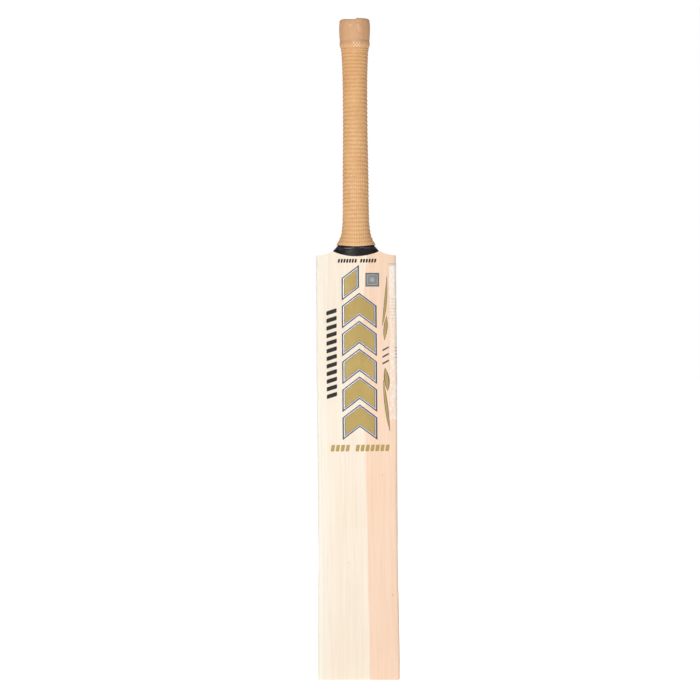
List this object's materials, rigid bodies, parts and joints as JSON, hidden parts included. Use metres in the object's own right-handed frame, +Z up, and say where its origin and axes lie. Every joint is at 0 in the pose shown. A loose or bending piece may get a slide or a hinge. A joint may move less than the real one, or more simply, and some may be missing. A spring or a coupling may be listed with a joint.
{
  "type": "cricket bat",
  "caption": "Short-handle cricket bat: a willow blade with a spliced cane handle, black shoulder binding, ribbed tan rubber grip and gold face labels.",
  "frame": {"origin": "middle of the flat toe, where the bat stands when it is upright", "axes": "+Z up the bat from the toe to the top of the handle; -Y out of the hitting face, so +Y out of the spine; +X across the blade, to the right as one looks at the hitting face with the handle up"},
  "size_m": [0.1062, 0.0659, 0.855],
  "materials": {
    "willow": "satin",
    "cane": "satin",
    "rubber_spring": "matt",
    "twine": "matt",
    "binding": "gloss",
    "grip_rubber": "matt",
    "gold_film": "satin",
    "black_film": "satin",
    "silver_film": "gloss",
    "white_film": "satin"
  },
  "bodies": {
    "root": {"blade": "willow", "cane_front_left": "cane", "cane_front_centre": "cane", "cane_front_right": "cane", "cane_inner_front_left": "cane", "cane_inner_front_centre": "cane", "cane_inner_front_right": "cane", "cane_inner_back_left": "cane", "cane_inner_back_centre": "cane", "cane_inner_back_right": "cane", "cane_back_left": "cane", "cane_back_centre": "cane", "cane_back_right": "cane", "rubber_spring_front": "rubber_spring", "rubber_spring_middle": "rubber_spring", "rubber_spring_back": "rubber_spring", "handle_twine": "twine", "shoulder_binding": "binding", "grip": "grip_rubber", "face_label_main": "gold_film", "face_label_side": "black_film", "face_label_square": "silver_film", "face_label_header": "black_film", "face_label_footer": "gold_film", "face_accent_upper": "gold_film", "face_accent_middle": "black_film", "face_accent_lower": "gold_film", "back_label": "gold_film", "edge_label_left": "white_film", "edge_label_right": "white_film"}
  },
  "joints": []
}
